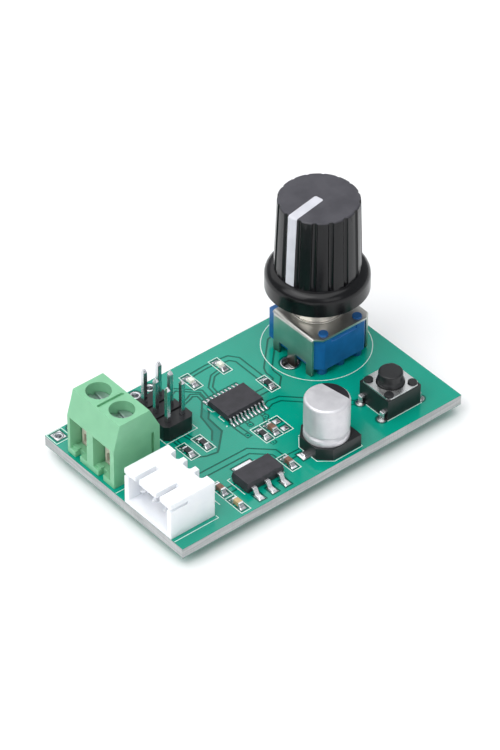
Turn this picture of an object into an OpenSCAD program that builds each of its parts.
// Servo driver board: a 50 x 30 mm circuit board with a screw terminal block, a side entry wire
// socket, a pin header, a controller chip, a regulator, a can capacitor, a potentiometer with a
// fluted knob, a push switch and small chip parts.
// +X runs from the connector edge to the knob edge, +Y from the front edge to the back edge.
// The tips of the trimmed leads under the board stand at z = 0.

/* [Circuit board] */
// Length of the board along X
board_l = 50; // [50:1:70]
// Width of the board along Y
board_w = 30; // [30:1:45]
// Thickness of the board
board_t = 1.6; // [1:0.2:2.4]
// Length of the trimmed leads below the board
lead_stub = 1.6; // [1.3:0.1:2.4]
// Diameter of the plated holes for thin leads
lead_hole_d = 1.0; // [0.95:0.05:1.3]
// Diameter of the small holes that join the two copper layers
via_d = 0.4; // [0.3:0.05:0.6]

/* [Empty solder holes] */
// Distance of the hole row from the back edge
row_back = 1.2; // [1:0.1:2]
// Distance between the holes of the row
row_pitch = 2.54; // [2:0.01:3]
// Distance of the first, square pad's hole from the connector edge
row_first_x = 1.4; // [1.2:0.1:2.5]
// Number of holes beside the square pad, that one counted
row_holes = 4; // [2:1:4]
// Distance of the pair of spare holes from the connector edge
spare_x = 14.95; // [14:0.1:16]

/* [Terminal block] */
// Distance between the two poles
tb_pitch = 5.08; // [5:0.02:6.1]
// Depth of the housing along X
tb_depth = 8; // [7.8:0.1:9.6]
// Height of the housing above the board
tb_h = 10.7; // [10.6:0.1:13]
// Setback of the housing from the connector edge
tb_front = 0.45; // [0.2:0.05:1]
// Distance from the housing to the back edge of the board
tb_back = 4.6; // [4:0.1:6]
// Height at which the front face starts to lean back
tb_slope_z = 6.6; // [6.5:0.1:7.2]
// Distance of the screws from the front face
tb_screw_x = 3.55; // [3.4:0.05:4.2]
// Width of the clamp cage
cage_w = 3.6; // [3:0.1:4.3]
// Depth of the clamp cage along the wire
cage_d = 3.2; // [3.1:0.1:3.6]
// Height of the clamp cage
cage_h = 5.2; // [4.6:0.1:5.4]
// Wall of the clamp cage
cage_wall = 0.35; // [0.3:0.05:0.6]
// Diameter of the screw shank
screw_d = 2.8; // [2:0.1:3]
// Diameter of the screw head
screw_head_d = 3.5; // [3.2:0.1:4.2]
// Height of the screw head
screw_head_h = 0.9; // [0.7:0.05:1.1]
// Depth of the screw head below the top of the housing
screw_sink = 1.6; // [1.4:0.1:1.9]

/* [Wire socket] */
// Distance between the socket's pins
ws_pitch = 2.5; // [2:0.1:3]
// Number of pins
ws_pins = 3; // [2:1:3]
// Length of the housing past the outer pins, both ends together
ws_ends = 4.9; // [4.1:0.1:5.9]
// Depth of the housing along X
ws_depth = 7.6; // [7:0.1:9.1]
// Height of the housing
ws_h = 6.1; // [5.4:0.1:7.3]
// Distance of the housing from the front edge of the board
ws_y = 2.47; // [2:0.1:3]
// Wall of the housing
ws_wall = 0.85; // [0.7:0.05:1]
// Thickness of the back wall that holds the pins
ws_back_wall = 1.1; // [0.9:0.05:1.4]
// Width of each bay in the back wall
ws_bay_w = 1.65; // [1.2:0.05:1.9]
// Depth of each bay in the back wall
ws_bay_d = 1.05; // [0.9:0.05:1.2]
// Length of the slots in the top wall
ws_slot_l = 3.5; // [2.5:0.1:4.2]

/* [Pin header] */
// Distance between the header's pins
hd_pitch = 2.54; // [2.3:0.02:3]
// Number of pins along X
hd_cols = 2; // [1:1:2]
// Number of pins along Y
hd_rows = 3; // [1:1:3]
// Height of the plastic base
hd_base_h = 2.5; // [2:0.1:3]
// Height of the pin tips above the board
hd_pin_h = 8.5; // [6:0.1:11]
// Distance of the first column from the connector edge
hd_x = 13.15; // [13.1:0.05:14]
// Distance of the first row from the front edge
hd_y = 19.4; // [19:0.1:20.5]
// Side of the square pins
pin_side = 0.64; // [0.5:0.01:0.66]

/* [Controller chip] */
// Length of the chip's body along X
ic_l = 6.5; // [6.3:0.1:8]
// Width of the chip's body
ic_w = 4.4; // [3.6:0.1:5.3]
// Height of the top of the chip
ic_h = 1.1; // [0.9:0.05:1.4]
// Leads on each long side
ic_leads = 10; // [7:1:10]
// Distance between the leads
ic_pitch = 0.65; // [0.5:0.05:0.65]
// Reach of the leads past the body on each side
ic_reach = 1.0; // [0.8:0.05:1.3]
// Distance of the chip's centre from the connector edge
ic_x = 24.4; // [24:0.1:25]
// Distance of the chip's centre from the front edge
ic_y = 18.35; // [18:0.1:19]

/* [Regulator] */
// Length of the regulator's body along X
vr_l = 6.5; // [6.2:0.1:7.8]
// Width of the regulator's body
vr_w = 3.5; // [3:0.1:4.2]
// Height of the top of the body
vr_h = 1.75; // [1.5:0.05:2]
// Distance between the leads
vr_pitch = 2.3; // [1.9:0.05:2.4]
// Reach of the leads and of the tab past the body
vr_reach = 1.75; // [1.5:0.05:2]
// Distance of the regulator's centre from the connector edge
vr_x = 16.95; // [16.9:0.05:17.5]
// Distance of the regulator's centre from the front edge
vr_y = 4.65; // [4.3:0.05:5]

/* [Can capacitor] */
// Diameter of the can
can_d = 6.5; // [5:0.1:6.6]
// Height of the top of the can above the board
can_top = 8.3; // [7:0.05:10.3]
// Wall of the can
can_wall = 0.3; // [0.2:0.05:0.4]
// Side of the square base past the can
can_rim = 0.3; // [0.2:0.05:0.4]
// Height of the base
can_base_h = 2; // [1.7:0.1:2.2]
// Cut of the two bevelled corners of the base
can_bevel = 1.7; // [1:0.1:1.8]
// Distance of the can's centre from the connector edge
can_x = 28.85; // [28.8:0.05:30]
// Distance of the can's centre from the front edge
can_y = 4.2; // [4:0.1:4.4]

/* [Potentiometer] */
// Distance of the shaft from the knob edge of the board
pot_right = 8.5; // [8.3:0.1:9.5]
// Distance of the shaft from the back edge of the board
pot_back = 8.85; // [8:0.1:9]
// Width of the plastic body along X
pot_w = 9.6; // [9.4:0.1:11.5]
// Reach of the plastic body in front of the shaft
pot_reach_front = 6.05; // [5.4:0.05:6.4]
// Reach of the plastic body behind the shaft
pot_reach_back = 4.65; // [4.4:0.05:5.3]
// Height of the top of the plastic body
pot_h = 6.45; // [5.8:0.05:7.7]
// Thickness of the sheet metal bracket
bracket_t = 0.35; // [0.25:0.05:0.45]
// Width of the bracket's soldered middle leg
bracket_leg_w = 1.6; // [1.2:0.1:1.9]
// Diameter of the bushing
bushing_d = 7.1; // [6.7:0.1:8.5]
// Height of the bushing above the bracket
bushing_h = 5; // [3.6:0.1:5.6]
// Diameter of the shaft
shaft_d = 6; // [5:0.1:6.2]
// Length of the shaft above the bracket
shaft_l = 15; // [13:0.5:18]
// Turning range before the stop against the clock
turn_back = 220; // [200:5:240]
// Turning range before the stop with the clock
turn_on = 60; // [40:5:80]

/* [Knob] */
// Diameter of the skirt
knob_skirt_d = 14.9; // [14.6:0.1:16.4]
// Diameter of the fluted body at its foot
knob_foot_d = 12.4; // [11:0.1:13]
// Diameter of the fluted body at its top
knob_top_d = 11.6; // [9.5:0.1:12.3]
// Height of the whole knob
knob_h = 15.3; // [13:0.1:18.3]
// Height of the skirt's straight side
knob_skirt_h = 2.2; // [1.8:0.1:2.6]
// Height of the curve from the skirt to the flutes
knob_curve_h = 1.5; // [1.2:0.1:1.7]
// Number of grooves round the body
knob_grooves = 16; // [12:1:18]
// Gap from the bracket to the knob's lower edge
knob_gap = 4.1; // [3.8:0.1:5]
// Width of the white pointer
pointer_w = 1.5; // [0.9:0.1:1.8]
// Direction of the pointer at rest, in degrees from +X
pointer_dir = 190; // [0:5:355]

/* [Push switch] */
// Side of the switch's square body
sw_side = 6; // [5.7:0.1:7.2]
// Height of the plastic body
sw_h = 3.35; // [3:0.05:4]
// Thickness of the metal cover
sw_cover_t = 0.25; // [0.2:0.05:0.35]
// Diameter of the button
sw_button_d = 3.5; // [3:0.1:3.8]
// Height of the button's top above the board
sw_top = 5.5; // [5:0.1:9]
// Travel of the button
sw_travel = 0.25; // [0.15:0.05:0.3]
// Distance between the leads along Y
sw_lead_pitch = 4.5; // [4:0.1:4.8]
// Distance from the leads to the body
sw_lead_out = 0.3; // [0.2:0.05:0.45]
// Distance of the switch's centre from the front edge
sw_y = 5.4; // [5:0.1:5.5]

/* [Chip parts] */
// Length of the chip parts along Y
chip_l = 1.6; // [1.4:0.05:1.95]
// Width of the chip parts
chip_w = 0.8; // [0.65:0.05:1]
// Height of the chip resistors
chip_r_h = 0.45; // [0.35:0.05:0.55]
// Height of the chip capacitors
chip_c_h = 0.8; // [0.6:0.05:1]
// Height of the light emitting diodes
chip_d_h = 0.65; // [0.5:0.05:0.8]
// Length of the metal ends
chip_end = 0.3; // [0.2:0.05:0.4]

/* [Clearances] */
// Radial gap of pieces that turn or slide in each other
run_gap = 0.06; // [0.03:0.01:0.09]
// Gap between a moving piece and the faces it passes
slide_gap = 0.1; // [0.05:0.01:0.12]
// Gap between fixed pieces that are put together
fit_gap = 0.02; // [0.01:0.01:0.04]

/* [Hidden] */
$fn = 48;
// Small overshoot of a cutting shape past the face that it cuts
cut = 0.5;

// Heights of the board's two faces
board_z0 = lead_stub;
board_z1 = lead_stub + board_t;
// Depth from the board's upper face to the lead tips
lead_drop = board_t + lead_stub;

// Places of the empty solder holes and of the vias, from the front connector corner
row_y = board_w - row_back;
row_places = [for (i = [0 : row_holes - 1]) [row_first_x + i * row_pitch, row_y]];
spare_places = [for (i = [0 : 1]) [spare_x + i * row_pitch, row_y]];
via_places = [[26.05, 13.8], [23.3, 13.8], [23.4, 9], [21.6, 12.3]];

// Terminal block
tb_w = 2 * tb_pitch;
tb_y = board_w - tb_back - tb_w;
tb_poles = [for (i = [0 : 1]) tb_y + (i + 0.5) * tb_pitch];
tb_top_front = 1.1;
tb_top_back = 6.3;
tb_back_slope_z = tb_h - 3.5;
tb_screw = tb_front + tb_screw_x;
tb_well_floor = tb_h - screw_sink - screw_head_h - slide_gap / 2;
tb_ledge = 0.4;
tb_floor = 0.9;
tb_entry_w = 3.7;
tb_entry_top = tb_slope_z - 0.15;
tb_entry_shift = 0.16;
tb_rib = 0.35;
screw_pitch = 0.5;
screw_turns = 2.75;
screw_slot_turn = 83;
screw_slot_w = 0.65;
cage_rise = screw_pitch * screw_turns;
cage_z0 = tb_floor + slide_gap;
cage_top_wall = 0.8;
cage_plate_t = 0.35;
cage_plate_z = cage_z0 + cage_h - 3.1;
cage_plate_r = 0.5;
bar_t = 0.5;
bar_w = 2;
bar_z1 = cage_z0 + cage_h - cage_top_wall - 0.15;
bar_leg_w = 1;
bar_leg_x = tb_screw + cage_d / 2 + 3 * slide_gap + 0.2;
screw_tip_z = bar_z1 + slide_gap;
tb_pin_hole_d = 1.4;

// Wire socket
ws_w = ws_ends + (ws_pins - 1) * ws_pitch;
ws_mid = ws_y + ws_w / 2;
ws_pin_ys = [for (i = [0 : ws_pins - 1]) ws_mid + (i - (ws_pins - 1) / 2) * ws_pitch];
ws_cavity_d = ws_depth - ws_bay_d - ws_back_wall;
ws_pin_z = ws_h / 2;
ws_pin_x = ws_depth - ws_bay_d / 2;
ws_pin_tip = 0.9;
ws_slot_w = 0.8;
ws_slot_off = 2.2;
ws_slit_h = 0.45;
ws_slit_l = 3;

// Pin header
hd_cols_x = [for (i = [0 : hd_cols - 1]) hd_x + i * hd_pitch];
hd_rows_y = [for (i = [0 : hd_rows - 1]) hd_y + i * hd_pitch];
hd_corner = 0.6;
hd_line_w = 0.36;
hd_line_d = 0.3;
tip_l = 0.5;
tip_side = 0.3;

// Controller chip and regulator
ic_stand = 0.1;
ic_mid = 0.6;
ic_lead_w = 0.24;
ic_lead_t = 0.13;
ic_foot = 0.5;
vr_stand = 0.08;
vr_mid = 0.95;
vr_lead_w = 0.7;
vr_lead_t = 0.25;
vr_tab_w = 3;
vr_foot = 0.9;
draft = 0.13;

// Can capacitor
can_r = can_d / 2;
can_side = can_d + can_rim;
can_seat_z = can_base_h - 0.8;
can_groove_z = 3.1;
can_groove = 0.35;
can_edge = 0.35;
can_lead_w = 0.65;
can_lead_t = 0.2;
can_lead_out = 0.9;
can_lead_post = 1.2;
can_post_d = 0.6;

// Potentiometer
pot_x = board_l - pot_right;
pot_y = board_w - pot_back;
pot_foot_h = 1.2;
pot_foot_r = 0.75;
pot_foot_in = 1.1;
pot_foot_x = 3.2;
pot_wall = 0.55;
pot_floor_z = 2;
pot_bore_r = min(pot_w / 2, pot_reach_front, pot_reach_back) - pot_wall / 2;
pot_corner = 1.2;
plate_z0 = pot_h;
plate_z1 = pot_h + bracket_t;
fold_r = bracket_t + 0.2;
flange_back = pot_reach_back - 1.4;
plate_back = flange_back + 0.3;
flange_front = pot_reach_front - pot_corner + 0.2;
flange_x = pot_w / 2 + fit_gap;
notch_z = 2;
end_leg_w = 1.25;
leg_y = -0.65;
leg_hole_out = 0.4;
leg_hole_d = 2 * norm([bracket_leg_w / 2, leg_hole_out + bracket_t]) + 0.1;
stake_r = 0.7;
stake_h = 0.25;
stake_x = 3.1;
stake_in = 1.05;
track_t = 0.5;
track_r = pot_bore_r - 0.1;
wiper_z = pot_floor_z + track_t + 0.05;
rotor_z0 = wiper_z + 0.35;
rotor_t = 1.3;
rotor_r = pot_bore_r - 0.3;
wiper_r = 3;
wiper_t = 0.2;
term_pitch = 2.5;
term_w = 0.8;
term_t = 0.3;
term_out = 0.5;
term_z = 1.5;
term_hole_d = 1.1;
shaft_top = plate_z1 + shaft_l;

// Knob
knob_z0 = plate_z1 + knob_gap;
knob_z1 = knob_z0 + knob_h;
knob_flute_z = knob_z0 + knob_skirt_h + knob_curve_h;
knob_hollow_r = knob_skirt_d / 2 - 0.95;
knob_hollow_h = knob_skirt_h - 0.1;
knob_edge = 0.2;
groove_r = 0.45;
groove_out = 0.14;
pointer_depth = 0.4;
pointer_start = 0.15;
pointer_corner = 0.35;

// Push switch
sw_x = pot_x;
sw_cover_side = sw_side - 0.15;
sw_stake = sw_side / 2 - 0.85;
sw_stake_r = 0.6;
sw_head_r = 0.75;
sw_head_h = 0.28;
sw_well_r = sw_button_d / 2 + 0.65;
sw_well_z = 1.3;
sw_ring_r = sw_button_d / 2 + 0.2;
sw_ring_z = sw_h + sw_cover_t + 0.7;
sw_flange_r = sw_ring_r + 0.3;
sw_flange_h = 0.7;
sw_stem_r = 0.9;
dome_t = 0.08;
dome_r = sw_well_r - 0.15;
dome_h = 0.45;
dome_flat = 0.5;
sw_lead_w = 0.7;
sw_lead_t = 0.3;
sw_lead_z = 1.35;
sw_lead_in = 0.6;
sw_lead_x = sw_side / 2 + sw_lead_out + sw_lead_t / 2;

// Places of the chip parts, from the front connector corner, or from the back edge for the diodes
resistor_1 = [23.3, 11.15];
resistor_2 = [30.8, 18.95];
resistor_3 = [15.8, 14.9];
resistor_4 = [13.05, 14.9];
ceramic_1 = [24.93, 11.15];
ceramic_2 = [22.22, 4.35];
ceramic_3 = [11.47, 6];
ceramic_4 = [11.47, 2.3];
diode_1 = [22.75, board_w - 3.9];
diode_2 = [28.1, board_w - 3.85];
resistor_places = [resistor_1, resistor_2, resistor_3, resistor_4];
ceramic_places = [ceramic_1, ceramic_2, ceramic_3, ceramic_4];
diode_places = [diode_1, diode_2];

// Solder under the board
solder_h = 1;
solder_foot = 0.45;

// ---------------------------------------------------------------- helpers

// Children placed on the board's upper face at x, y from the front connector corner
module on_board(place) {
    translate([place[0] - board_l / 2, place[1] - board_w / 2, board_z1]) children();
}

// A box given by its low and its high corner
module span(low, high) {
    translate(low) cube(high - low);
}

// A round hole through the board
module board_hole(place, d) {
    on_board(place) translate([0, 0, -board_t - cut]) cylinder(d = d, h = board_t + 2 * cut);
}

// Outline of a square bar along Z whose named end or ends narrow to the tip's side
function bar_outline(side, z0, z1, low_tip, high_tip) = [
    [low_tip ? tip_side / 2 : side / 2, z0], [side / 2, z0 + (low_tip ? tip_l : tip_l / 4)],
    [side / 2, z1 - (high_tip ? tip_l : tip_l / 4)], [high_tip ? tip_side / 2 : side / 2, z1],
    [high_tip ? -tip_side / 2 : -side / 2, z1], [-side / 2, z1 - (high_tip ? tip_l : tip_l / 4)],
    [-side / 2, z0 + (low_tip ? tip_l : tip_l / 4)], [low_tip ? -tip_side / 2 : -side / 2, z0]
];

// The outline in the XZ plane, pushed evenly to both sides along Y
module push_y(w) {
    translate([0, w / 2, 0]) rotate([90, 0, 0]) linear_extrude(w) children();
}

// The outline in the YZ plane, pushed evenly to both sides along X
module push_x(w) {
    rotate([90, 0, 90]) translate([0, 0, -w / 2]) linear_extrude(w) children();
}

// A square pin along Z with narrowed tips
module square_pin(z0, z1, low_tip = true, high_tip = true) {
    outline = bar_outline(pin_side, z0, z1, low_tip, high_tip);
    intersection() {
        push_y(pin_side) polygon(outline);
        push_x(pin_side) polygon(outline);
    }
}

// A moulded block that is widest at its parting line and leans in above and below it
module moulded_block(l, w, z0, z_mid, z1) {
    lean = draft;
    intersection() {
        push_y(w) polygon([[-l / 2 + lean, z0], [l / 2 - lean, z0], [l / 2, z_mid],
            [l / 2 - lean, z1], [-l / 2 + lean, z1], [-l / 2, z_mid]]);
        push_x(l) polygon([[-w / 2 + lean, z0], [w / 2 - lean, z0], [w / 2, z_mid],
            [w / 2 - lean, z1], [-w / 2 + lean, z1], [-w / 2, z_mid]]);
    }
}

// Outline of a gull wing lead in the YZ plane, from the body at y = 0 out to y = -reach
function gull_outline(z_out, reach, foot, t) = [
    [0, z_out - t / 2], [0, z_out + t / 2], [-(reach - foot) * 0.6, z_out + t / 2],
    [-(reach - foot) - t * 0.3, t], [-reach, t], [-reach, 0],
    [-(reach - foot) + t * 0.4, 0], [-(reach - foot) * 0.6 + t, z_out - t / 2]
];

// A cone of solder under the board, round a lead that may stand off the hole's middle along X
module solder_cone(place, hole_d, lead, lead_off = 0) {
    on_board(place) translate([0, 0, -board_t]) difference() {
        translate([0, 0, -solder_h])
            cylinder(r1 = hole_d * 0.42, r2 = hole_d / 2 + solder_foot, h = solder_h);
        translate([lead_off, 0, 0]) cube([lead[0], lead[1], 4 * solder_h], center = true);
    }
}

// ---------------------------------------------------------------- board

module circuit_board() {
    color("seagreen")
    difference() {
        translate([-board_l / 2, -board_w / 2, board_z0]) cube([board_l, board_w, board_t]);
        for (p = concat(row_places, spare_places)) board_hole(p, lead_hole_d);
        for (p = via_places) board_hole(p, via_d);
        for (y = tb_poles) board_hole([bar_leg_x, y], tb_pin_hole_d);
        for (y = ws_pin_ys) board_hole([ws_pin_x, y], lead_hole_d);
        for (x = hd_cols_x, y = hd_rows_y) board_hole([x, y], lead_hole_d);
        for (p = pot_leg_places()) board_hole(p, leg_hole_d);
        for (p = terminal_places()) board_hole(p, term_hole_d);
        for (p = switch_lead_places()) board_hole(p, lead_hole_d);
    }
}

function pot_leg_places() =
    [for (s = [-1, 1]) [pot_x + s * (flange_x + bracket_t / 2 + leg_hole_out), pot_y + leg_y]];
function terminal_places() =
    [for (i = [-1 : 1]) [pot_x + i * term_pitch, pot_y + pot_reach_back + term_out]];
function switch_lead_places() =
    [for (s = [-1, 1], t = [-1, 1]) [sw_x + s * sw_lead_x, sw_y + t * sw_lead_pitch / 2]];

module solder_joints() {
    square = [pin_side, pin_side];
    color("silver") {
        for (y = tb_poles) solder_cone([bar_leg_x, y], tb_pin_hole_d, [bar_t, bar_leg_w]);
        for (y = ws_pin_ys) solder_cone([ws_pin_x, y], lead_hole_d, square);
        for (x = hd_cols_x, y = hd_rows_y) solder_cone([x, y], lead_hole_d, square);
        for (s = [-1, 1])
            solder_cone([pot_x + s * (flange_x + bracket_t / 2 + leg_hole_out), pot_y + leg_y],
                leg_hole_d, [bracket_t, bracket_leg_w], -s * leg_hole_out);
        for (p = terminal_places()) solder_cone(p, term_hole_d, [term_w, term_t]);
        for (p = switch_lead_places()) solder_cone(p, lead_hole_d, [sw_lead_t, sw_lead_w * 0.8]);
    }
}

// ---------------------------------------------------------------- terminal block

// Side view of the housing: upright foot, front and back faces leaning to a narrower flat top
module tb_side() {
    polygon([[0, 0], [0, tb_slope_z], [tb_top_front, tb_h], [tb_top_back, tb_h],
        [tb_depth, tb_back_slope_z], [tb_depth, 0]]);
}

// Everything that is cut away for one pole: well, chamber, wire entry and slot for the busbar
module tb_pole_cuts(y) {
    chamber_w = cage_w + 2 * slide_gap;
    chamber_d = cage_d + 2 * slide_gap;
    translate([tb_screw_x, y, 0]) {
        translate([0, 0, tb_well_floor])
            cylinder(r = screw_head_d / 2 + run_gap, h = tb_h);
        translate([0, 0, tb_floor]) cylinder(r = screw_d / 2 + run_gap, h = tb_h);
        span([-chamber_d / 2, -chamber_w / 2, tb_floor],
            [chamber_d / 2, chamber_w / 2, tb_well_floor - tb_ledge]);
    }
    // Wire entry through the front wall
    span([-cut, y + tb_entry_shift - tb_entry_w / 2, 1],
        [tb_screw_x, y + tb_entry_shift + tb_entry_w / 2, tb_entry_top]);
    // Slot in the sill below the entry, open to the board
    span([-cut, y + tb_entry_shift - 0.3, -cut], [0.9, y + tb_entry_shift + 0.75, 1 + cut]);
    // Passage for the busbar and its leg behind the chamber
    span([tb_screw_x, y - bar_w / 2 - fit_gap, bar_z1 - bar_t - fit_gap],
        [bar_leg_x - tb_front + bar_t / 2 + fit_gap, y + bar_w / 2 + fit_gap, bar_z1 + fit_gap]);
    span([bar_leg_x - tb_front - bar_t / 2 - fit_gap, y - bar_w / 2 - fit_gap, -cut],
        [bar_leg_x - tb_front + bar_t / 2 + fit_gap, y + bar_w / 2 + fit_gap, bar_z1 + fit_gap]);
}

module terminal_housing() {
    color("mediumseagreen")
    on_board([tb_front, 0]) difference() {
        union() {
            difference() {
                translate([0, tb_y + tb_w / 2, 0]) push_y(tb_w) tb_side();
                for (y = tb_poles) tb_pole_cuts(y);
                // Shallow groove between the poles on the top
                for (x = [1.6, 5.6])
                    translate([x, tb_y + tb_pitch, tb_h - 0.4]) cylinder(r = 0.26, h = 2 * cut);
                span([1.6, tb_y + tb_pitch - 0.26, tb_h - 0.4],
                    [5.6, tb_y + tb_pitch + 0.26, tb_h + cut]);
            }
            // Raised step on the sill of each entry, beside the slot
            for (y = tb_poles)
                span([0.45, y + tb_entry_shift + 0.75, 0.5], [1.1, y + tb_entry_w / 2 + 0.3, 1.25]);
            // Joining rib on the back end
            span([6.55, tb_y + tb_w - cut, 0], [6.95, tb_y + tb_w + tb_rib, 6.4]);
        }
        // Joining groove on the front end
        span([6.5, tb_y - cut, -cut], [7, tb_y + tb_rib + 0.05, 6.45]);
    }
}

module terminal_screw(y) {
    color("silver")
    on_board([tb_screw, y]) difference() {
        union() {
            translate([0, 0, tb_h - screw_sink - screw_head_h])
                cylinder(d = screw_head_d, h = screw_head_h);
            translate([0, 0, screw_tip_z])
                cylinder(d = screw_d, h = tb_h - screw_sink - screw_tip_z - screw_head_h / 2);
        }
        translate([0, 0, tb_h - screw_sink]) rotate(screw_slot_turn)
            cube([2 * screw_head_d, screw_slot_w, screw_head_h], center = true);
    }
}
module terminal_screw_1() { terminal_screw(tb_poles[0]); }
module terminal_screw_2() { terminal_screw(tb_poles[1]); }

// Square metal cage: the screw turns in its top wall and draws it up against the wire.
// A plate closes the front above the wire
module clamp_cage(y) {
    color("gainsboro")
    on_board([tb_screw, y]) difference() {
        span([-cage_d / 2, -cage_w / 2, cage_z0], [cage_d / 2, cage_w / 2, cage_z0 + cage_h]);
        span([cage_plate_t - cage_d / 2, cage_wall - cage_w / 2, cage_z0 + cage_wall + 0.1],
            [cage_d, cage_w / 2 - cage_wall, cage_z0 + cage_h - cage_top_wall]);
        // Wire opening with rounded upper corners
        span([-cage_d, cage_wall - cage_w / 2, cage_z0 + cage_wall + 0.1],
            [0, cage_w / 2 - cage_wall, cage_plate_z - cage_plate_r]);
        span([-cage_d, cage_wall - cage_w / 2 + cage_plate_r, cage_plate_z - cage_plate_r - cut],
            [0, cage_w / 2 - cage_wall - cage_plate_r, cage_plate_z]);
        for (s = [-1, 1])
            translate([-cage_d, s * (cage_w / 2 - cage_wall - cage_plate_r), cage_plate_z - cage_plate_r])
                rotate([0, 90, 0]) cylinder(r = cage_plate_r, h = cage_d);
        translate([0, 0, cage_z0 + cage_h / 2]) cylinder(r = screw_d / 2 + run_gap, h = cage_h);
    }
}
module clamp_cage_1() { clamp_cage(tb_poles[0]); }
module clamp_cage_2() { clamp_cage(tb_poles[1]); }

// Busbar through the cage, with a leg down through the board
module terminal_pin(y) {
    front = tb_screw - cage_d / 2 + cage_plate_t + slide_gap;
    color("lightgray")
    on_board([0, y]) {
        span([front, -bar_w / 2, bar_z1 - bar_t], [bar_leg_x + bar_t / 2, bar_w / 2, bar_z1]);
        span([bar_leg_x - bar_t / 2, -bar_w / 2, 0], [bar_leg_x + bar_t / 2, bar_w / 2, bar_z1]);
        span([bar_leg_x - bar_t / 2, -bar_leg_w / 2, -lead_drop],
            [bar_leg_x + bar_t / 2, bar_leg_w / 2, 0.1]);
    }
}
module terminal_pin_1() { terminal_pin(tb_poles[0]); }
module terminal_pin_2() { terminal_pin(tb_poles[1]); }

// ---------------------------------------------------------------- wire socket

// Upright bay in the back wall with a rounded inner end
module ws_bay(y) {
    r = ws_bay_w / 4;
    translate([0, 0, -cut]) {
        for (s = [-1, 1])
            translate([ws_depth - ws_bay_d + r, y + s * r, 0]) cylinder(r = r, h = ws_h + 2 * cut);
        span([ws_depth - ws_bay_d, y - r, 0], [ws_depth, y + r, ws_h + 2 * cut]);
        span([ws_depth - ws_bay_d + r, y - 2 * r, 0], [ws_depth + cut, y + 2 * r, ws_h + 2 * cut]);
    }
}

module socket_housing() {
    half = ws_w / 2;
    slit_z = ws_h - ws_wall - ws_slit_h;
    hole = pin_side / 2 + fit_gap / 2;
    color("white")
    on_board([0, 0]) difference() {
        span([0, ws_mid - half, 0], [ws_depth, ws_mid + half, ws_h]);
        // Mouth for the plug, open to the connector edge
        span([-cut, ws_mid - half + ws_wall, ws_wall],
            [ws_cavity_d, ws_mid + half - ws_wall, ws_h - ws_wall]);
        // Two keying slots in the top wall
        for (s = [-1, 1])
            span([-cut, ws_mid + s * ws_slot_off - ws_slot_w / 2, ws_h / 2],
                [ws_slot_l, ws_mid + s * ws_slot_off + ws_slot_w / 2, ws_h + cut]);
        // Slit under the top wall at both ends
        span([-cut, ws_mid - half - cut, slit_z], [ws_slit_l, ws_mid + half + cut, slit_z + ws_slit_h]);
        for (y = ws_pin_ys) {
            ws_bay(y);
            span([0, y - hole, ws_pin_z - hole], [ws_depth, y + hole, ws_pin_z + hole]);
        }
    }
}

// Square pin, bent down behind the back wall
module socket_pin(y) {
    half = pin_side / 2;
    color("silver")
    on_board([0, y]) union() {
        translate([0, 0, ws_pin_z]) rotate([0, 90, 0])
            square_pin(ws_pin_tip, ws_pin_x + half, true, false);
        translate([ws_pin_x, 0, 0]) square_pin(-lead_drop, ws_pin_z + half, true, false);
    }
}
module socket_pin_1() { socket_pin(ws_pin_ys[0]); }
module socket_pin_2() { socket_pin(ws_pin_ys[1]); }
module socket_pin_3() { socket_pin(ws_pin_ys[2]); }

// ---------------------------------------------------------------- pin header

// One block for each row of pins, with notched ends and a break line between the rows
module header_base() {
    h = hd_pitch / 2;
    c = hd_corner;
    x0 = hd_cols_x[0] - h;
    x1 = hd_cols_x[hd_cols - 1] + h;
    row = [[x0 + c, -h], [x1 - c, -h], [x1, c - h], [x1, h - c], [x1 - c, h], [x0 + c, h], [x0, h - c], [x0, c - h]];
    color("dimgray")
    difference() {
        for (y = hd_rows_y) on_board([0, y]) linear_extrude(hd_base_h) polygon(row);
        for (i = [1 : 1 : hd_rows - 1])
            on_board([0, hd_rows_y[i] - h])
                span([x0 - cut, -hd_line_w / 2, hd_base_h - hd_line_d], [x1 + cut, hd_line_w / 2, hd_base_h + cut]);
        for (x = hd_cols_x, y = hd_rows_y)
            on_board([x, y]) translate([0, 0, hd_base_h / 2])
                cube([pin_side + fit_gap, pin_side + fit_gap, 2 * hd_base_h], center = true);
    }
}

module header_pins() {
    color("silver")
    for (x = hd_cols_x, y = hd_rows_y) on_board([x, y]) square_pin(-lead_drop, hd_pin_h);
}

// ---------------------------------------------------------------- controller chip

module controller_body() {
    color("darkslategray")
    on_board([ic_x, ic_y]) difference() {
        moulded_block(ic_l, ic_w, ic_stand, ic_mid, ic_h);
        // Dimple at the first lead
        translate([-ic_l / 2 + 0.75, -ic_w / 2 + 0.75, ic_h - 0.06]) cylinder(r = 0.3, h = cut);
    }
}

module controller_leads() {
    color("silver")
    for (s = [0, 1], i = [0 : ic_leads - 1])
        on_board([ic_x + (i - (ic_leads - 1) / 2) * ic_pitch, ic_y])
            rotate(180 * s) translate([0, -ic_w / 2, 0])
                push_x(ic_lead_w) polygon(gull_outline(ic_mid, ic_reach, ic_foot, ic_lead_t));
}

// ---------------------------------------------------------------- regulator

module regulator_body() {
    color("darkslategray")
    on_board([vr_x, vr_y]) moulded_block(vr_l, vr_w, vr_stand, vr_mid, vr_h);
}

module regulator_leads() {
    color("silver")
    for (i = [-1 : 1])
        on_board([vr_x + i * vr_pitch, vr_y - vr_w / 2])
            push_x(vr_lead_w) polygon(gull_outline(vr_mid, vr_reach, vr_foot, vr_lead_t));
}

module regulator_tab() {
    color("silver")
    on_board([vr_x, vr_y + vr_w / 2]) rotate(180)
        push_x(vr_tab_w) polygon(gull_outline(vr_mid, vr_reach, vr_foot, vr_lead_t));
}

// ---------------------------------------------------------------- can capacitor

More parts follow.
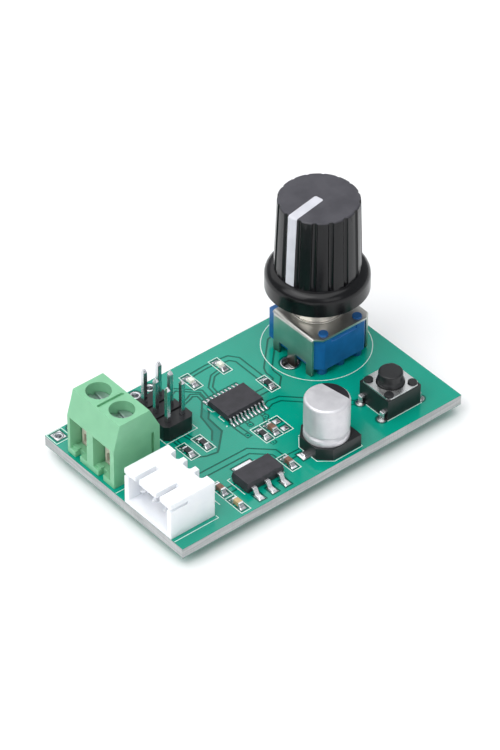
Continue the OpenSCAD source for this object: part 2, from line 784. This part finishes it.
// Deep drawn can: closed top with a rounded edge, a rolled groove near its foot
module capacitor_can() {
    r = can_r;
    w = can_wall;
    g = can_groove;
    color("lightgray")
    on_board([can_x, can_y]) rotate_extrude() difference() {
        polygon([[0, can_seat_z], [r - can_edge, can_seat_z], [r, can_seat_z + can_edge],
            [r, can_groove_z - g], [r - g, can_groove_z], [r, can_groove_z + g],
            [r, can_top - can_edge], [r - can_edge * 0.3, can_top - can_edge * 0.3],
            [r - can_edge, can_top], [0, can_top]]);
        polygon([[0, can_seat_z - cut], [r - can_edge - w, can_seat_z - cut],
            [r - can_edge - w, can_seat_z + can_edge], [r - w - g, can_seat_z + can_edge + 0.2],
            [r - w - g, can_groove_z + g / 2], [r - w, can_groove_z + g + w],
            [r - w, can_top - can_edge - w / 2], [r - w - can_edge / 2, can_top - w],
            [0, can_top - w]]);
    }
}

module capacitor_base() {
    h = can_side / 2;
    b = can_bevel;
    color("dimgray")
    on_board([can_x, can_y]) difference() {
        linear_extrude(can_base_h) polygon([[b - h, -h], [h, -h], [h, h], [b - h, h], [-h, h - b], [-h, b - h]]);
        translate([0, 0, can_seat_z - fit_gap]) cylinder(r = can_r + fit_gap, h = can_base_h);
        for (s = [-1, 1]) {
            span([min(s * h * 2, s * can_lead_post) - can_post_d / 2 * (s > 0 ? 1 : 0),
                -can_lead_w / 2 - fit_gap, -cut],
                [max(s * h * 2, s * can_lead_post) + can_post_d / 2 * (s < 0 ? 1 : 0),
                can_lead_w / 2 + fit_gap, can_lead_t + fit_gap]);
            translate([s * can_lead_post, 0, -cut]) cylinder(d = can_post_d + 2 * fit_gap, h = can_base_h);
        }
    }
}

// Rubber plug in the foot of the can
module capacitor_seal() {
    r = can_r - can_wall - can_groove - fit_gap;
    color("black")
    on_board([can_x, can_y]) difference() {
        translate([0, 0, can_seat_z + fit_gap]) cylinder(r = r - 0.1, h = can_groove_z - can_seat_z);
        for (s = [-1, 1])
            translate([s * can_lead_post, 0, 0]) cylinder(d = can_post_d + 2 * fit_gap, h = can_top);
    }
}

// Roll of foil inside the can
module capacitor_winding() {
    z0 = can_groove_z + can_groove + can_wall + fit_gap;
    color("tan")
    on_board([can_x, can_y]) translate([0, 0, z0])
        cylinder(r = can_r - can_wall - 0.15, h = can_top - can_edge - can_wall - z0);
}

module capacitor_leads() {
    z_seal = can_groove_z + can_groove + can_wall;
    color("silver")
    for (s = [0, 1]) on_board([can_x, can_y]) rotate(180 * s) union() {
        span([-can_side / 2 - can_lead_out, -can_lead_w / 2, 0],
            [-can_lead_post + can_post_d / 2, can_lead_w / 2, can_lead_t]);
        translate([-can_lead_post, 0, 0]) cylinder(d = can_post_d, h = z_seal);
    }
}

// ---------------------------------------------------------------- potentiometer

module pot_body() {
    front = -pot_reach_front;
    back = pot_reach_back;
    c = pot_corner;
    w = pot_w / 2;
    color("steelblue")
    on_board([pot_x, pot_y]) difference() {
        union() {
            translate([0, 0, pot_foot_h]) linear_extrude(pot_h - pot_foot_h)
                polygon([[c - w, front], [w - c, front], [w, front + c], [w, back], [-w, back], [-w, front + c]]);
            // Feet
            for (s = [-1 : 1])
                translate([s * pot_foot_x, front + pot_foot_in, 0]) cylinder(r = pot_foot_r, h = 2 * pot_foot_h);
            // Staked posts that hold the bracket down
            for (s = [-1, 1])
                translate([s * stake_x, front + stake_in, pot_h - 1])
                    cylinder(r = stake_r, h = 1 + bracket_t + stake_h);
        }
        // Shallow recess in the front face under the bracket
        span([-0.5 * w, front - cut, pot_h - 0.7], [0.45 * w, front + 0.15, pot_h + cut]);
        translate([0, 0, pot_floor_z]) cylinder(r = pot_bore_r, h = pot_h - pot_floor_z);
        // Slots for the three terminals
        for (i = [-1 : 1])
            span([i * term_pitch - term_w / 2 - fit_gap, back - 1.5, term_z - fit_gap],
                [i * term_pitch + term_w / 2 + fit_gap, back + cut, term_z + term_t + fit_gap]);
    }
}

// Folded sheet: top plate with two side flanges, each with two short legs and a soldered leg
module pot_bracket() {
    front = -pot_reach_front;
    w = flange_x + bracket_t;
    c = pot_corner;
    color("lightgray")
    on_board([pot_x, pot_y]) difference() {
        union() {
            difference() {
                translate([0, 0, plate_z0 + fit_gap]) linear_extrude(bracket_t - fit_gap)
                    polygon([[c - w, front], [w - c, front], [w, front + c], [w, plate_back],
                        [-w, plate_back], [-w, front + c]]);
                translate([0, 0, plate_z0 - cut]) cylinder(r = bushing_d / 2 - 0.3 + fit_gap, h = 2);
                for (s = [-1, 1])
                    translate([s * stake_x, front + stake_in, plate_z0 - cut]) cylinder(r = stake_r + fit_gap, h = 2);
            }
            for (s = [-1, 1])
                translate([s * (flange_x + bracket_t / 2), 0, 0]) push_x(bracket_t) polygon([
                    [0.3 - flange_front, 0], [-flange_front, 0.4], [-flange_front, plate_z1],
                    [flange_back, plate_z1], [flange_back, 0],
                    [flange_back - end_leg_w, 0], [flange_back - end_leg_w, notch_z],
                    [leg_y + bracket_leg_w / 2, notch_z], [leg_y + bracket_leg_w / 2, -lead_drop + 0.3],
                    [leg_y + bracket_leg_w / 2 - 0.3, -lead_drop], [leg_y - bracket_leg_w / 2 + 0.3, -lead_drop],
                    [leg_y - bracket_leg_w / 2, -lead_drop + 0.3], [leg_y - bracket_leg_w / 2, notch_z],
                    [end_leg_w - flange_front, notch_z], [end_leg_w - flange_front, 0]]);
        }
        // Outer round of the two folds
        for (s = [0, 1])
            mirror([s, 0, 0]) translate([w - fold_r, 0, plate_z1 - fold_r]) rotate([90, 0, 0])
                linear_extrude(4 * pot_reach_front, center = true) difference() {
                    square(2 * fold_r);
                    circle(r = fold_r);
                }
    }
}

// Turned collar on the plate, staked into the plate's hole
module pot_bushing() {
    r = bushing_d / 2;
    bore = shaft_d / 2 + run_gap;
    color("silver")
    on_board([pot_x, pot_y]) rotate_extrude() polygon([
        [bore, plate_z0 - 0.2], [r - 0.3, plate_z0 - 0.2], [r - 0.3, plate_z1 + fit_gap],
        [r + 0.25, plate_z1 + fit_gap], [r + 0.25, plate_z1 + 0.3], [r, plate_z1 + 0.3],
        [r, plate_z1 + bushing_h - 0.3], [r - 0.3, plate_z1 + bushing_h], [bore, plate_z1 + bushing_h]]);
}

// Round shaft with a cross slot in its split end
module pot_shaft() {
    color("gainsboro")
    on_board([pot_x, pot_y]) difference() {
        translate([0, 0, rotor_z0 + rotor_t / 2]) cylinder(d = shaft_d, h = shaft_top - rotor_z0 - rotor_t / 2);
        translate([0, 0, shaft_top]) rotate(pointer_dir) cube([2 * shaft_d, 1, 12], center = true);
    }
}

// Plastic disc that carries the shaft's foot and the wiper
module pot_rotor() {
    color("dimgray")
    on_board([pot_x, pot_y]) difference() {
        translate([0, 0, rotor_z0]) cylinder(r = rotor_r, h = rotor_t);
        translate([0, 0, rotor_z0 + rotor_t / 2 - fit_gap])
            cylinder(r = shaft_d / 2 + fit_gap, h = rotor_t);
    }
}

// Sprung ring under the rotor with one contact arm that reaches down to the track
module pot_wiper() {
    color("goldenrod")
    on_board([pot_x, pot_y]) union() {
        translate([0, 0, rotor_z0 - wiper_t]) difference() {
            cylinder(r = wiper_r, h = wiper_t);
            translate([0, 0, -cut]) cylinder(r = wiper_r - 0.9, h = wiper_t + 2 * cut);
        }
        rotate(pointer_dir) span([wiper_r - 0.8, -0.4, wiper_z], [wiper_r - 0.2, 0.4, rotor_z0 - wiper_t / 2]);
    }
}

// Disc with the resistive track
module pot_track() {
    color("saddlebrown")
    on_board([pot_x, pot_y]) translate([0, 0, pot_floor_z]) cylinder(r = track_r, h = track_t);
}

// Three flat terminals that leave the back of the body and turn down through the board
module pot_terminals() {
    y0 = pot_reach_back - 1.4;
    y1 = pot_reach_back + term_out + term_t / 2;
    color("silver")
    for (i = [-1 : 1]) on_board([pot_x + i * term_pitch, pot_y]) push_x(term_w) polygon([
        [y0, term_z], [y1 - term_t, term_z], [y1 - term_t, -lead_drop], [y1, -lead_drop],
        [y1, term_z + term_t], [y0, term_z + term_t]]);
}

// ---------------------------------------------------------------- knob

// Outer form of the fluted body without its grooves
module knob_cone(shrink = 0) {
    r_top = knob_top_d / 2 - shrink;
    translate([0, 0, knob_flute_z - 0.2])
        cylinder(r1 = knob_foot_d / 2 - shrink, r2 = r_top, h = knob_z1 - knob_edge - knob_flute_z + 0.2, $fn = 64);
    translate([0, 0, knob_z1 - knob_edge]) cylinder(r1 = r_top, r2 = r_top - knob_edge, h = knob_edge, $fn = 64);
}

// Skirt with a curved shoulder up to the fluted body
module knob_skirt() {
    r0 = knob_skirt_d / 2;
    r1 = knob_foot_d / 2 - 0.3;
    z_side = knob_z0 + knob_skirt_h;
    steps = 6;
    rotate_extrude($fn = 64) polygon(concat(
        [[0, knob_z0], [r0 - 0.2, knob_z0], [r0, knob_z0 + 0.2]],
        [for (i = [0 : steps]) let (a = 90 * i / steps)
            [r1 + (r0 - r1) * cos(a), z_side + knob_curve_h * sin(a)]],
        [[0, z_side + knob_curve_h]]));
}

// Space of the inlaid pointer: along the top from near the middle, then down the side
module pointer_space() {
    long = knob_skirt_d;
    rotate(pointer_dir) {
        translate([0, 0, knob_z1 - pointer_depth]) {
            span([pointer_corner - pointer_start, -pointer_w / 2, 0], [long, pointer_w / 2, 1]);
            span([-pointer_start, pointer_corner - pointer_w / 2, 0], [1, pointer_w / 2 - pointer_corner, 1]);
            for (s = [-1, 1])
                translate([pointer_corner - pointer_start, s * (pointer_w / 2 - pointer_corner), 0])
                    cylinder(r = pointer_corner, h = 1);
        }
        difference() {
            span([0, -pointer_w / 2, knob_flute_z + 0.1], [long, pointer_w / 2, knob_z1 + 1]);
            knob_cone(pointer_depth);
        }
    }
}

module knob_body() {
    lean = atan((knob_foot_d - knob_top_d) / 2 / (knob_z1 - knob_flute_z));
    turn = 180 / knob_grooves;
    color("darkslategray")
    on_board([pot_x, pot_y]) difference() {
        union() {
            knob_skirt();
            knob_cone();
        }
        // Flutes
        for (i = [0 : knob_grooves - 1])
            rotate(pointer_dir + turn + 360 / knob_grooves * i)
                translate([knob_foot_d / 2 + groove_out, 0, knob_flute_z]) rotate([0, -lean, 0])
                    cylinder(r = groove_r, h = 2 * knob_h, $fn = 20);
        pointer_space();
        // Hollow of the skirt and bore for the shaft
        translate([0, 0, knob_z0 - cut]) cylinder(r = knob_hollow_r, h = knob_hollow_h + cut);
        translate([0, 0, knob_z0]) cylinder(r = shaft_d / 2 + fit_gap, h = shaft_top - knob_z0 + 0.2);
    }
}

module knob_pointer() {
    color("white")
    on_board([pot_x, pot_y]) intersection() {
        pointer_space();
        knob_cone();
    }
}

// ---------------------------------------------------------------- push switch

module switch_body() {
    h = sw_side / 2;
    color("dimgray")
    on_board([sw_x, sw_y]) difference() {
        union() {
            span([-h, -h, 0], [h, h, sw_h]);
            for (s = [-1, 1], t = [-1, 1]) translate([s * sw_stake, t * sw_stake, sw_h - 1]) {
                cylinder(r = sw_stake_r, h = 1 + sw_cover_t + sw_head_h);
                translate([0, 0, 1 + sw_cover_t]) cylinder(r1 = sw_head_r, r2 = sw_head_r - 0.15, h = sw_head_h);
            }
        }
        translate([0, 0, sw_well_z]) cylinder(r = sw_well_r, h = sw_h);
        // Slots for the leads
        for (s = [-1, 1], t = [-1, 1])
            span([min(s * (h - sw_lead_in), s * 2 * h), t * sw_lead_pitch / 2 - sw_lead_w / 2 - fit_gap,
                sw_lead_z - sw_lead_t - fit_gap],
                [max(s * (h - sw_lead_in), s * 2 * h), t * sw_lead_pitch / 2 + sw_lead_w / 2 + fit_gap,
                sw_lead_z + fit_gap]);
    }
}

module switch_cover() {
    h = sw_cover_side / 2;
    c = 0.5;
    color("gainsboro")
    on_board([sw_x, sw_y]) translate([0, 0, sw_h]) linear_extrude(sw_cover_t - fit_gap / 2) difference() {
        polygon([[h - c, -h], [h, c - h], [h, h - c], [h - c, h], [c - h, h], [-h, h - c], [-h, c - h], [c - h, -h]]);
        circle(r = sw_ring_r + slide_gap);
        for (s = [-1, 1], t = [-1, 1]) translate([s * sw_stake, t * sw_stake]) circle(r = sw_stake_r + fit_gap);
    }
}

// Button: round top, wider ring in the cover's hole, flange that the cover holds, stem on the dome
module switch_button() {
    r = sw_button_d / 2;
    z_flange = sw_h - slide_gap / 2;
    z_stem = sw_well_z + dome_t + dome_h + 0.02;
    color("dimgray")
    on_board([sw_x, sw_y]) rotate_extrude() polygon([
        [0, z_stem], [sw_stem_r, z_stem], [sw_stem_r, z_flange - sw_flange_h],
        [sw_flange_r, z_flange - sw_flange_h], [sw_flange_r, z_flange], [sw_ring_r, z_flange],
        [sw_ring_r, sw_ring_z - 0.25], [r, sw_ring_z], [r, sw_top - 0.15], [r - 0.15, sw_top], [0, sw_top]]);
}

// Snap dome that pushes the button back
module switch_dome() {
    steps = 6;
    lower = [for (i = [0 : steps]) let (a = i / steps)
        [dome_flat + (dome_r - dome_flat) * a, sw_well_z + dome_h * (1 - a * a)]];
    upper = [for (i = [0 : steps]) let (a = 1 - i / steps)
        [dome_flat + (dome_r - dome_flat) * a, sw_well_z + dome_t + dome_h * (1 - a * a)]];
    color("silver")
    on_board([sw_x, sw_y]) rotate_extrude() polygon(concat([[0, sw_well_z + dome_h]], lower, upper,
        [[0, sw_well_z + dome_t + dome_h]]));
}

// Four leads that leave the sides of the body and turn down through the board
module switch_leads() {
    inner = sw_side / 2 - sw_lead_in + fit_gap;
    outer = sw_lead_x + sw_lead_t / 2;
    color("silver")
    for (s = [0, 1], t = [-1, 1]) on_board([sw_x, sw_y]) rotate(180 * s)
        translate([0, t * sw_lead_pitch / 2, 0]) {
            push_y(sw_lead_w) polygon([[inner, sw_lead_z - sw_lead_t], [outer - sw_lead_t, sw_lead_z - sw_lead_t],
                [outer - sw_lead_t, 0], [outer, 0], [outer, sw_lead_z - sw_lead_t * 0.4],
                [outer - sw_lead_t * 0.4, sw_lead_z], [inner, sw_lead_z]]);
            span([outer - sw_lead_t, -sw_lead_w * 0.4, -lead_drop], [outer, sw_lead_w * 0.4, 0.1]);
        }
}

// ---------------------------------------------------------------- chip parts

// Body of a chip part between its two metal ends
module chip_body(place, h, drop = 0) {
    inner = chip_l / 2 - chip_end;
    on_board(place) span([-chip_w / 2, -inner, 0.05], [chip_w / 2, inner, h - drop]);
}

module chip_ends(places, h) {
    inner = chip_l / 2 - chip_end;
    for (p = places, s = [0, 1]) on_board(p) rotate(180 * s)
        span([-chip_w / 2, inner, 0], [chip_w / 2, chip_l / 2, h]);
}

module resistor(place) {
    color("darkslategray") chip_body(place, chip_r_h, 0.02);
}
module resistor_1() { resistor(resistor_1); }
module resistor_2() { resistor(resistor_2); }
module resistor_3() { resistor(resistor_3); }
module resistor_4() { resistor(resistor_4); }
module resistor_ends() { color("silver") chip_ends(resistor_places, chip_r_h); }

module ceramic(place) {
    color("rosybrown") chip_body(place, chip_c_h, 0.03);
}
module ceramic_1() { ceramic(ceramic_1); }
module ceramic_2() { ceramic(ceramic_2); }
module ceramic_3() { ceramic(ceramic_3); }
module ceramic_4() { ceramic(ceramic_4); }
module ceramic_ends() { color("silver") chip_ends(ceramic_places, chip_c_h); }

module diode(place) {
    color("ivory") chip_body(place, chip_d_h);
}
module diode_1() { diode(diode_1); }
module diode_2() { diode(diode_2); }
module diode_ends() { color("silver") chip_ends(diode_places, chip_d_h / 2); }

circuit_board();
solder_joints();
terminal_housing();
terminal_screw_1();
terminal_screw_2();
clamp_cage_1();
clamp_cage_2();
terminal_pin_1();
terminal_pin_2();
socket_housing();
socket_pin_1();
socket_pin_2();
socket_pin_3();
header_base();
header_pins();
controller_body();
controller_leads();
regulator_body();
regulator_leads();
regulator_tab();
capacitor_can();
capacitor_base();
capacitor_seal();
capacitor_winding();
capacitor_leads();
pot_body();
pot_bracket();
pot_bushing();
pot_shaft();
pot_rotor();
pot_wiper();
pot_track();
pot_terminals();
knob_body();
knob_pointer();
switch_body();
switch_cover();
switch_button();
switch_dome();
switch_leads();
resistor_1();
resistor_2();
resistor_3();
resistor_4();
resistor_ends();
ceramic_1();
ceramic_2();
ceramic_3();
ceramic_4();
ceramic_ends();
diode_1();
diode_2();
diode_ends();
